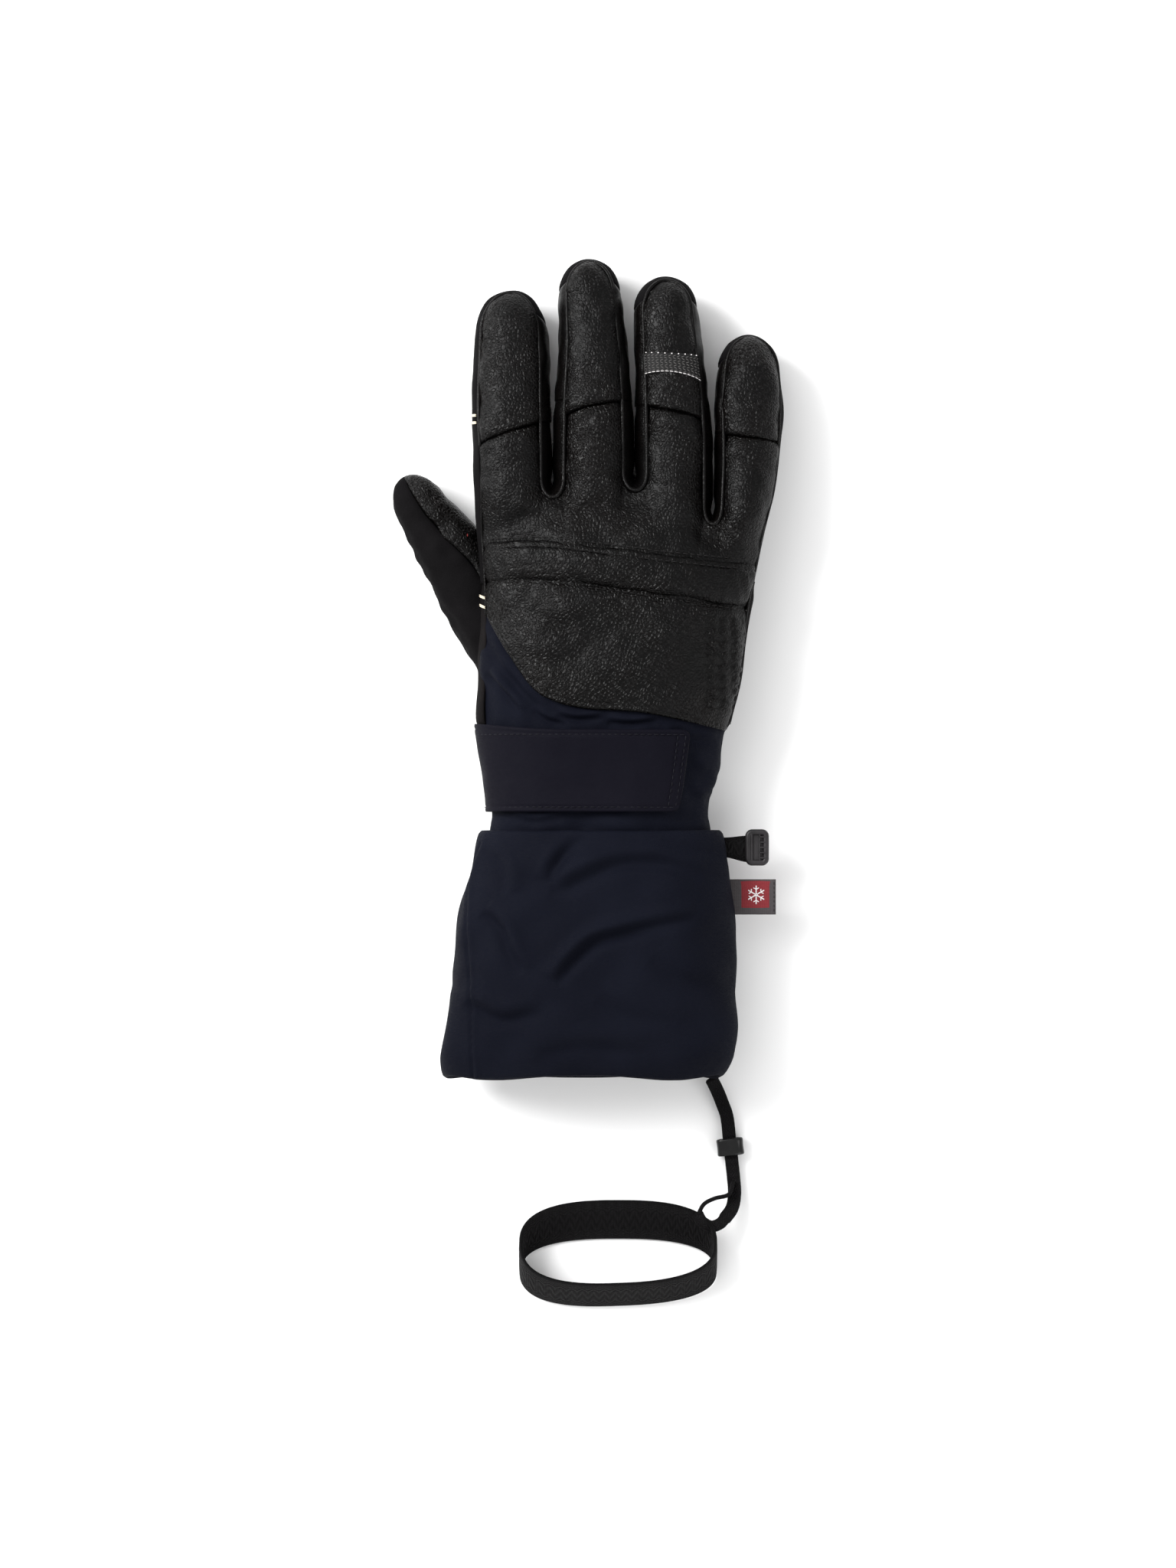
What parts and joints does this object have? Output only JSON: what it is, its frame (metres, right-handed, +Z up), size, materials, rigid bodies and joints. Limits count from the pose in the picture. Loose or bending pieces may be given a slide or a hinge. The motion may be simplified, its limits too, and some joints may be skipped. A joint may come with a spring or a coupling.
{
  "type": "ski glove",
  "caption": "Insulated right-hand ski glove with a padded knuckle band, wrist strap, gauntlet cuff, link clip and wrist leash, lying palm down.",
  "frame": {"origin": "under the middle of the glove without its leash, on the surface that it lies on", "axes": "+Y towards the fingertips, +X towards the little finger's side, +Z up through the back of the hand"},
  "size_m": [0.1563, 0.4217, 0.0509],
  "materials": {
    "leather": "smooth goat leather with a soft sheen",
    "suede": "matt suede-like leather",
    "navy_shell": "brushed navy softshell",
    "strap_fabric": "smooth navy strap fabric",
    "lining": "brushed fleece lining",
    "foam": "insulation and foam padding",
    "webbing": "woven webbing",
    "plastic": "moulded plastic",
    "slider_plastic": "glossy black plastic",
    "label": "woven label",
    "wipe": "woven wipe strip"
  },
  "bodies": {
    "gauntlet": {"gauntlet_shell": "navy_shell", "gauntlet_hem": "navy_shell", "gauntlet_lining": "lining", "wrist_gusset": "navy_shell", "link_webbing": "webbing"},
    "hand": {"wrist_shell": "navy_shell", "back_panel": "leather", "palm_panel": "leather", "back_insulation": "foam", "hand_lining": "lining", "knuckle_foam": "foam", "knuckle_band": "leather", "strap_base": "strap_fabric", "loop_patch": "webbing", "thumb_base": "leather"},
    "strap": {"strap_tab": "strap_fabric", "hook_patch": "webbing"},
    "knuckles": {"knuckle_back": "leather", "knuckle_palm": "leather", "fourchette_index_middle": "suede", "fourchette_middle_ring": "suede", "fourchette_ring_little": "suede", "index_base_lining": "lining", "middle_base_lining": "lining", "ring_base_lining": "lining", "little_base_lining": "lining"},
    "index": {"index_back": "leather", "index_palm": "leather", "index_right_fourchette": "suede", "index_lining": "lining"},
    "middle": {"middle_back": "leather", "middle_palm": "leather", "middle_left_fourchette": "suede", "middle_right_fourchette": "suede", "middle_lining": "lining"},
    "ring": {"ring_back": "leather", "ring_palm": "leather", "ring_left_fourchette": "suede", "ring_right_fourchette": "suede", "ring_lining": "lining", "wipe_strip": "wipe"},
    "little": {"little_back": "leather", "little_palm": "leather", "little_left_fourchette": "suede", "little_lining": "lining"},
    "thumb": {"thumb_outer": "suede", "thumb_inner": "leather", "thumb_lining": "lining"},
    "clip": {"link_clip": "plastic"},
    "label": {"side_label": "label"},
    "leash": {"leash_cord": "webbing"},
    "slider": {"leash_slider": "slider_plastic"},
    "loop": {"wrist_loop": "webbing"}
  },
  "joints": [
    {"name": "wrist_flex", "type": "hinge", "parent": "gauntlet", "child": "hand", "pos_m": [0.0055, -0.062, 0.022], "axis": [1, 0, 0], "range_deg": [-25, 25], "deforming": ["wrist_gusset"]},
    {"name": "knuckle_flex", "type": "hinge", "parent": "hand", "child": "knuckles", "pos_m": [0.0135, 0.05, 0.014], "axis": [-1, 0, 0], "range_deg": [0, 50]},
    {"name": "index_flex", "type": "hinge", "parent": "knuckles", "child": "index", "pos_m": [-0.0303, 0.105, 0.017], "axis": [-1, 0, 0], "range_deg": [0, 70]},
    {"name": "middle_flex", "type": "hinge", "parent": "knuckles", "child": "middle", "pos_m": [0.0027, 0.116, 0.017], "axis": [-1, 0, 0], "range_deg": [0, 70]},
    {"name": "ring_flex", "type": "hinge", "parent": "knuckles", "child": "ring", "pos_m": [0.0339, 0.115, 0.017], "axis": [-1, 0, 0], "range_deg": [0, 70]},
    {"name": "little_flex", "type": "hinge", "parent": "knuckles", "child": "little", "pos_m": [0.0649, 0.102, 0.017], "axis": [-1, 0, 0], "range_deg": [0, 70]},
    {"name": "thumb_flex", "type": "hinge", "parent": "hand", "child": "thumb", "pos_m": [-0.0541, 0.0381, 0.011], "axis": [-0.8829, -0.4695, 0], "range_deg": [0, 45]},
    {"name": "strap_peel", "type": "hinge", "parent": "hand", "child": "strap", "pos_m": [-0.0226, -0.0405, 0.0442], "axis": [0, -1, 0], "range_deg": [0, 120]},
    {"name": "clip_swing", "type": "hinge", "parent": "gauntlet", "child": "clip", "pos_m": [0.063, -0.0715, 0.02], "axis": [0, 1, 0], "range_deg": [-40, 40]},
    {"name": "label_swing", "type": "hinge", "parent": "gauntlet", "child": "label", "pos_m": [0.059, -0.0917, 0.02], "axis": [0, 1, 0], "range_deg": [-60, 60]},
    {"name": "leash_swing", "type": "hinge", "parent": "gauntlet", "child": "leash", "pos_m": [0.0504, -0.1656, 0.0086], "axis": [0, 0, 1], "range_deg": [-15, 30]},
    {"name": "slider_slide", "type": "slide", "parent": "leash", "child": "slider", "axis": [0.1063, -0.9943, 0], "range_m": [-0.008, 0.01]},
    {"name": "loop_swing", "type": "hinge", "parent": "leash", "child": "loop", "pos_m": [0.054, -0.2232, 0.0085], "axis": [0, 0, 1], "range_deg": [-15, 40]}
  ]
}
